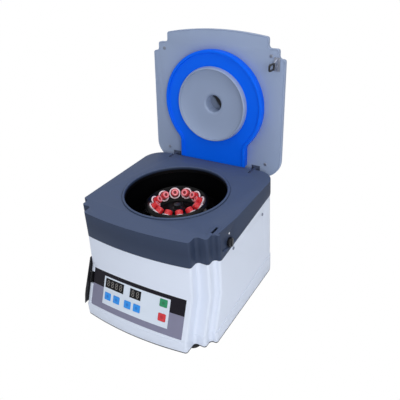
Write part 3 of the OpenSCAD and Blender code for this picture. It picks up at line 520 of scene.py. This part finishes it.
def spotTree():  # copies of a piece on the points of a mesh, turned by its tilt attribute
    tree, given = newTree("spots", [
        ("Geometry", "Geometry", None), ("Piece", "Object", None), ("Finish", "Material", None),
        ("Size", "Float", 1.0), ("Roll", "Float", 0.0), ("Seed", "Int", 5)])
    tilt = addNode(tree, "GeometryNodeInputNamedAttribute", {"data_type": "FLOAT_VECTOR"}, {"Name": "tilt"})
    shape = addNode(tree, "GeometryNodeObjectInfo", None, {"Object": given["Piece"]}, "Geometry")
    size = addNode(tree, "ShaderNodeCombineXYZ", None, {0: given["Size"], 1: given["Size"], 2: given["Size"]})
    placed = addNode(tree, "GeometryNodeInstanceOnPoints", None, {
        "Points": given["Geometry"], "Instance": shape, "Rotation": tilt, "Scale": size})
    return closeTree(tree, placed, given["Roll"], given["Seed"], given["Finish"])


def runTree(name, tree, values, places=()):
    mesh = bpy.data.meshes.new(name)
    mesh.from_pydata([tuple(matrix.translation) for matrix in places], [], [])
    if places:
        tilt = mesh.attributes.new("tilt", "FLOAT_VECTOR", "POINT")
        for item, matrix in zip(tilt.data, places):
            item.vector = matrix.to_euler()
    piece = newPiece(name, mesh)
    modifier = piece.modifiers.new("tree", "NODES")
    modifier.node_group = tree
    for item in tree.interface.items_tree:
        if item.in_out == "INPUT" and item.name in values:
            modifier[item.identifier] = values[item.name]
    plainMesh(piece)
    if "tilt" in piece.data.attributes:
        piece.data.attributes.remove(piece.data.attributes["tilt"])
    return piece


def lathe(name, rings, steps=48, ribs=None):  # rings: radius, height (mm) and tone, round a closed section
    work = bmesh.new()
    tone = work.verts.layers.float.new("tone")
    rows = []
    for place, (radius, height, value) in enumerate(rings):
        row = []
        for step in range(1 if radius == 0 else steps):
            turn = step * 2 * math.pi / steps
            wave = radius
            if ribs and place in ribs["rings"]:
                wave -= ribs["depth"] * (0.5 - 0.5 * math.cos(turn * ribs["count"]))
            vert = work.verts.new((wave * math.cos(turn) * mm, wave * math.sin(turn) * mm, height * mm))
            vert[tone] = value
            row.append(vert)
        rows.append(row)
    pairs = list(zip(rows, rows[1:]))
    if rings[0][0] != 0:
        pairs.append((rows[-1], rows[0]))
    for low, high in pairs:
        for step in range(steps):
            corners = [low[step % len(low)], low[(step + 1) % len(low)],
                       high[(step + 1) % len(high)], high[step % len(high)]]
            corners = list(dict.fromkeys(corners))
            if len(corners) > 2:
                work.faces.new(corners)
    bmesh.ops.recalc_face_normals(work, faces=work.faces)
    mesh = bpy.data.meshes.new(name)
    work.to_mesh(mesh)
    work.free()
    mesh.shade_smooth()
    return newPiece(name, mesh)


sharpAngle = {"turned": 50, "dish": 40, "small": 40}
rotor = {"places": 12, "first": math.radians(128.4), "ring": 48.0, "height": 189.0,
         "lean": math.radians(53.0), "cap": 7.5, "collar": 11.5, "sleeve": 8.96, "bore": 7.87,
         "sleeveEnd": -60.0, "boreEnd": -55.0, "roll": 0.12, "seed": 5}
ring = ringTree()


def rotorPiece(name, model, node):
    piece = runTree(name, ring, {
        "Count": rotor["places"], "First": rotor["first"], "Radius": rotor["ring"] * mm,
        "Height": rotor["height"] * mm, "Back": -setBack * mm, "Lean": rotor["lean"],
        "Roll": rotor["roll"], "Seed": rotor["seed"], "Piece": model, "Finish": finishOf[node]})
    piece.data.set_sharp_from_angle(angle=math.radians(sharpAngle["turned"]))
    bpy.data.objects.remove(model)
    return finishPiece(piece, "rotor", node)


cap, collar, bore, bottom = rotor["cap"], rotor["collar"], rotor["bore"], rotor["boreEnd"]
sleeve, end = rotor["sleeve"], rotor["sleeveEnd"]
capOutline = [  # radius, height and tone, from the dimple out and down; the low tone in the dimple paints shade and the high tone on the crown paints highlight
    (0, 11.4, 0.0), (1.7, 11.4, 0.0), (2.3, 11.7, 0.05), (2.9, 13.5, 0.35), (3.4, 14.2, 0.85),
    (4.4, 14.4, 1.0), (5.7, 14.3, 0.95), (6.8, 13.8, 0.6), (cap - 0.1, 12.9, 0.5), (cap, 12.2, 0.5),
    (cap, 4.0, 0.5), (cap - 0.05, 3.2, 0.5), (cap - 0.38, 2.75, 0.45), (cap - 0.4, -0.3, 0.4),
    (0, -0.3, 0.4)]
collarOutline = [  # from the bore's floor up, over the collar and down the sleeve; the low tones in the bore and down the sleeve paint shade
    (bore, bottom, 0.0), (bore, 1.7, 0.1), (bore + 0.5, 2.3, 0.2), (8.6, 2.35, 0.3), (8.9, 2.75, 0.9),
    (9.4, 3.0, 1.0), (collar - 1.0, 3.0, 1.0), (collar - 0.3, 2.75, 1.0), (collar, 2.2, 0.9),
    (collar, 0.5, 0.8), (collar - 0.4, 0.03, 0.6), (sleeve, 0.0, 0.5), (sleeve, -5.0, 0.4),
    (sleeve, -12.0, 0.05), (sleeve, end + 4.0, 0.0), (sleeve - 0.96, end + 1.8, 0.0), (sleeve - 3.96, end, 0.0), (0, end, 0.0),
    (0, bottom, 0.0)]
tubeOutline = [  # a round-bottomed tube
    (0, -0.42, 1.0), (6.0, -0.42, 1.0), (6.5, -0.9, 0.8), (6.5, -14.0, 0.5), (6.5, -20.0, 0.1),
    (6.5, bottom + 6.5, 0.0), (6.0, bottom + 4.0, 0.0), (4.6, bottom + 1.9, 0.0), (2.4, bottom + 0.5, 0.0),
    (0, bottom + 0.02, 0.0)]
capRibs = {"rings": (9, 10), "depth": 0.3, "count": 24}
rotorPiece("tubeCaps", lathe("capModel", capOutline, 96, capRibs), "tube_caps")
rotorPiece("tubeCollars", lathe("collarModel", collarOutline, 64), "tube_sleeves")
rotorPiece("tubesClear", lathe("tubeModel", tubeOutline, 40), "tubes")
print("rotor pieces made")


# the lid's own frame: drawn closed, turned back about its hinge
hinge = {"y": 134.0, "z": 213.2, "open": math.radians(-94.9), "lidPlane": 237.7}
lidTurn = (Matrix.Translation(Vector((0, hinge["y"] - setBack, hinge["z"])) * mm)
           @ Matrix.Rotation(hinge["open"], 4, "X")
           @ Matrix.Translation(Vector((0, -hinge["y"], -hinge["z"])) * mm))
dish = {"rim": 79.1, "floor": 12.5, "top": 22.0, "eye": 17.9, "wall": 2.4, "tube": -15.1, "steps": 160}


def lidDish():  # a smooth concave dish with a turned rim and the window's short tube
    eye, outer, tube = dish["eye"], dish["eye"] + dish["wall"], dish["tube"]
    outline = [  # radius and depth below the lid's plane: rim, hollow, tube and back
        (dish["rim"], dish["floor"]), (78.9, 14.2), (78.1, 17.2), (76.9, 20.6), (76.0, 21.7),
        (75.2, dish["top"]), (74.6, 21.8),
        (73.9, 21.0), (73.5, 19.8), (73.2, 17.8), (72.6, 17.0), (70.0, 15.7), (66.0, 13.9), (60.0, 11.7),
        (52.0, 9.8), (44.0, 8.7), (35.0, 8.1), (27.0, 8.0), (21.4, 8.0), (20.4, 7.6), (19.8, 6.7), (19.0, 6.2),
        (eye + 0.3, 5.9), (eye, 5.2), (eye, tube), (outer, tube), (outer, 4.0), (23.0, 5.6), (36.0, 5.7),
        (48.0, 6.8), (58.0, 8.9), (66.0, 11.6), (71.2, 14.0), (72.4, 14.6), (73.5, dish["floor"])]
    piece = lathe("lidDish", [(radius, -depth, 0.5) for radius, depth in outline], dish["steps"])
    piece.data.transform(lidTurn @ Matrix.Translation((0, 0, hinge["lidPlane"] * mm)))
    piece.data.set_sharp_from_angle(angle=math.radians(sharpAngle["dish"]))
    return finishPiece(piece, "lid", "lid_dish", material=finishes["lid"])


lidDish()
print("lid dish made")


# screws and display segments, on points
spots = spotTree()
screwLook = {"size": 1.0, "roll": 0.7, "seed": 11, "steps": 40, "slotLength": 1.35, "slotWidth": 0.26,
             "slotDepth": 0.5}


def screwModel(row):  # domed head with a cross recess on a plain shank
    radius, height, shank, depth = row["head"], row["high"], row["shank"], row["deep"]
    piece = lathe("screwModel", [
        (0, height, 1.0), (radius * 0.55, height - 0.02, 1.0), (radius * 0.85, height - 0.14, 0.8),
        (radius * 0.98, height - 0.45, 0.6), (radius, height * 0.4, 0.5), (radius, 0.0, 0.5),
        (shank, 0.0, 0.5), (shank, -depth, 0.5), (0, -depth, 0.5)], screwLook["steps"])
    long, wide = radius * screwLook["slotLength"], radius * screwLook["slotWidth"]
    deep = height * screwLook["slotDepth"] * 2
    cutter = bmesh.new()
    for across, along in ((long, wide), (wide, long)):
        shape = Matrix.Diagonal((across * mm, along * mm, deep * mm, 1))
        bmesh.ops.create_cube(cutter, size=1.0, matrix=Matrix.Translation((0, 0, height * mm)) @ shape)
    tool = newPiece("slotTool", bpy.data.meshes.new("slotTool"))
    cutter.to_mesh(tool.data)
    cutter.free()
    cut = piece.modifiers.new("slot", "BOOLEAN")
    cut.operation = "DIFFERENCE"
    cut.use_self = True
    cut.object = tool
    plainMesh(piece)
    bpy.data.objects.remove(tool)
    return piece


def placed(x, y, z, turn=None):
    return Matrix.Translation(Vector((x, y, z)) * mm) @ (turn or Matrix.Identity(4))


def spotPiece(name, model, node, places, roll=0.0):
    piece = runTree(name, spots, {"Piece": model, "Finish": finishOf[node], "Size": screwLook["size"],
                                  "Roll": roll, "Seed": screwLook["seed"]}, places)
    piece.data.set_sharp_from_angle(angle=math.radians(sharpAngle["small"]))
    bpy.data.objects.remove(model)
    return finishPiece(piece, bodyOf[node], node)


flip = Matrix.Rotation(math.pi, 4, "X")
screwRows = {
    "lidScrews": {"node": "lid_screws", "head": 3.4, "high": 1.4, "shank": 1.5, "deep": -0.2, "places": [
        lidTurn @ placed(x, y, hinge["lidPlane"], flip)
        for x, y in ((122, -106), (-122, -106), (117.5, 115.5), (-117.5, 115.5))]},
    "footScrews": {"node": "foot_screws", "head": 5.0, "high": 1.5, "shank": 2.5, "deep": 9.9, "places": [
        placed(x, y - setBack, 2.4, flip)
        for x, y in ((107.5, -140), (-107.5, -140), (112, 108), (-112, 108))]},
    "sideScrews": {"node": "side_screws", "head": 3.2, "high": 1.4, "shank": 2.0, "deep": 5.0, "places": [
        placed(side * 148.8, y - setBack, z, Matrix.Rotation(side * math.pi / 2, 4, "Y"))
        for side in (1, -1) for y, z in ((-51, 165), (74, 165))]},
}
for name, row in screwRows.items():
    spotPiece(name, screwModel(row), row["node"], row["places"], screwLook["roll"])


figure = {"wide": 5.4, "high": 10.4, "bar": 1.15, "thick": 0.2, "low": -0.5, "gap": 0.5,
          "speed": (-64.5, -54.2, -43.9, -33.6), "speedV": 19.95, "time": (-4.2, 6.2), "timeV": 20.7}


def panelFrame(x, v, out):  # the panel's axes at a place on it
    place = panelPoint(x, v, out)
    across = (panelPoint(x + 1, v, out) - panelPoint(x - 1, v, out)).normalized()
    upward = (panelPoint(x, v - 1, out) - panelPoint(x, v + 1, out)).normalized()
    outward = across.cross(upward)
    return Matrix.Translation(place) @ Matrix((across, upward, outward)).transposed().to_4x4()


def barModel(length):  # one pointed bar
    half, side = length / 2, figure["bar"] / 2
    outline = [(-half, 0), (-half + side, -side), (half - side, -side), (half, 0), (half - side, side),
               (-half + side, side)]
    work = bmesh.new()
    low = [work.verts.new((x * mm, y * mm, 0)) for x, y in outline]
    top = [work.verts.new((x * mm * 0.96, y * mm * 0.9, figure["thick"] * mm)) for x, y in outline]
    work.faces.new(list(reversed(low)))
    work.faces.new(top)
    for place in range(6):
        after = (place + 1) % 6
        work.faces.new((low[place], low[after], top[after], top[place]))
    mesh = bpy.data.meshes.new("barModel")
    work.to_mesh(mesh)
    work.free()
    return newPiece("barModel", mesh)


def displayFigures():  # every segment of the six figures shows, as on a display that has just been started
    wide, high, bar = figure["wide"] / 2 - figure["bar"] / 2, figure["high"] / 2, figure["bar"]
    quarter = Matrix.Rotation(math.pi / 2, 4, "Z")
    bars = [(0, high, None), (0, 0, None), (0, -high, None)]
    bars += [(side * wide, level * high / 2, quarter) for side in (-1, 1) for level in (-1, 1)]
    digits = [(x, figure["speedV"]) for x in figure["speed"]] + [(x, figure["timeV"]) for x in figure["time"]]
    places = [panelFrame(x, v, figure["low"]) @ placed(dx, dy, 0, turn)
              for x, v in digits for dx, dy, turn in bars]
    model = barModel(figure["wide"] - figure["bar"] - 0.3)
    spotPiece("displayFigures", model, "display_digits", places)


displayFigures()
print("screws and figures placed")


# camera, light and floor
view = {"place": (0.500615, -0.718960, 0.699379), "yaw": -0.5905, "pitch": -0.4551, "roll": -0.0795,
        "focal": 508.936, "centre": (183.942, 165.894)}


def addCamera():
    a, e, r = view["yaw"], view["pitch"], view["roll"]
    forward = Vector((math.sin(a) * math.cos(e), math.cos(a) * math.cos(e), math.sin(e)))
    right = Vector((math.cos(a), -math.sin(a), 0))
    up = right.cross(forward)
    across = right * math.cos(r) + up * math.sin(r)
    upward = up * math.cos(r) - right * math.sin(r)
    camera = bpy.data.objects.new("camera", bpy.data.cameras.new("camera"))
    bpy.context.scene.collection.objects.link(camera)
    camera.data.lens = view["focal"] * 36 / 400
    camera.data.sensor_width = 36
    camera.data.shift_x = (200 - view["centre"][0]) / 400
    camera.data.shift_y = (view["centre"][1] - 200) / 400
    camera.data.clip_start = 0.01
    turn = Matrix((across, upward, -forward)).transposed().to_4x4()
    camera.matrix_world = Matrix.Translation(view["place"]) @ turn
    bpy.context.scene.camera = camera


lamps = {  # place, target, size, power, colour
    "overhead": ((0.1, 0.0, 2.0), (0, 0, 0.2), 1.8, 15.0, (1.0, 1.0, 1.0)),
    "rightFront": ((1.5, -1.6, 1.0), (0, 0, 0.2), 1.0, 22.0, (1.0, 1.0, 1.0)),
    "leftFront": ((-1.4, -1.6, 1.2), (0, 0, 0.2), 1.2, 1.5, (0.94, 0.97, 1.0)),
}
studio = {"ambient": 0.3, "tint": (0.94, 0.97, 1.0, 1), "floor": (0.93, 0.94, 0.96, 1), "size": 14.0,
          "whitening": 1.0, "mirrored": 0.6}


def addLamp(name, place, target, size, power, tint):
    data = bpy.data.lights.new(name, "AREA")
    data.energy = power
    data.size = size
    data.color = tint
    lamp = bpy.data.objects.new(name, data)
    lamp.location = place
    lamp.rotation_euler = (Vector(target) - Vector(place)).to_track_quat("-Z", "Y").to_euler()
    bpy.context.scene.collection.objects.link(lamp)


def addStudio():
    world = bpy.data.worlds.new("studio")
    bpy.context.scene.world = world
    world.use_nodes = True
    tree = world.node_tree
    tree.nodes.clear()
    ray = tree.nodes.new("ShaderNodeLightPath")
    seen = Sock(tree, ray.outputs["Is Camera Ray"]) + Sock(tree, ray.outputs["Is Transmission Ray"])
    seen = seen.calc("MINIMUM", seen + Sock(tree, ray.outputs["Is Glossy Ray"]) * studio["mirrored"], 1.0)
    soft = addNode(tree, "ShaderNodeBackground", None, {0: studio["tint"], 1: studio["ambient"]})
    white = addNode(tree, "ShaderNodeBackground", None, {0: (1, 1, 1, 1), 1: 1.0})
    both = addNode(tree, "ShaderNodeMixShader", None, {0: seen, 1: soft, 2: white})
    out = tree.nodes.new("ShaderNodeOutputWorld")
    tree.links.new(both.socket, out.inputs[0])

    half = studio["size"] / 2
    mesh = bpy.data.meshes.new("floor")
    mesh.from_pydata([(-half, -half, 0), (half, -half, 0), (half, half, 0), (-half, half, 0)], [],
                     [(0, 1, 2, 3)])
    floor = newPiece("floor", mesh)
    finish = Finish("floorPaper", Roughness=0.9)
    finish.feed("Base Color", finish.blend(finish.noise(3.0), studio["floor"], shade(studio["floor"], 1.02)))
    glow = finish.make("ShaderNodeEmission", None, {0: (1, 1, 1, 1), 1: 1.0})
    cameraRay = finish.make("ShaderNodeLightPath", output="Is Camera Ray")
    mixed = finish.make("ShaderNodeMixShader", None, {
        0: cameraRay * studio["whitening"], 1: Sock(finish.tree, finish.shader.outputs[0]), 2: glow})
    finish.tree.links.new(mixed.socket, finish.output.inputs[0])
    mesh.materials.append(finish.material)
    for name, settings in lamps.items():
        addLamp(name, *settings)


addCamera()
addStudio()
bpy.context.scene.view_settings.view_transform = "Standard"
print("camera and studio placed")
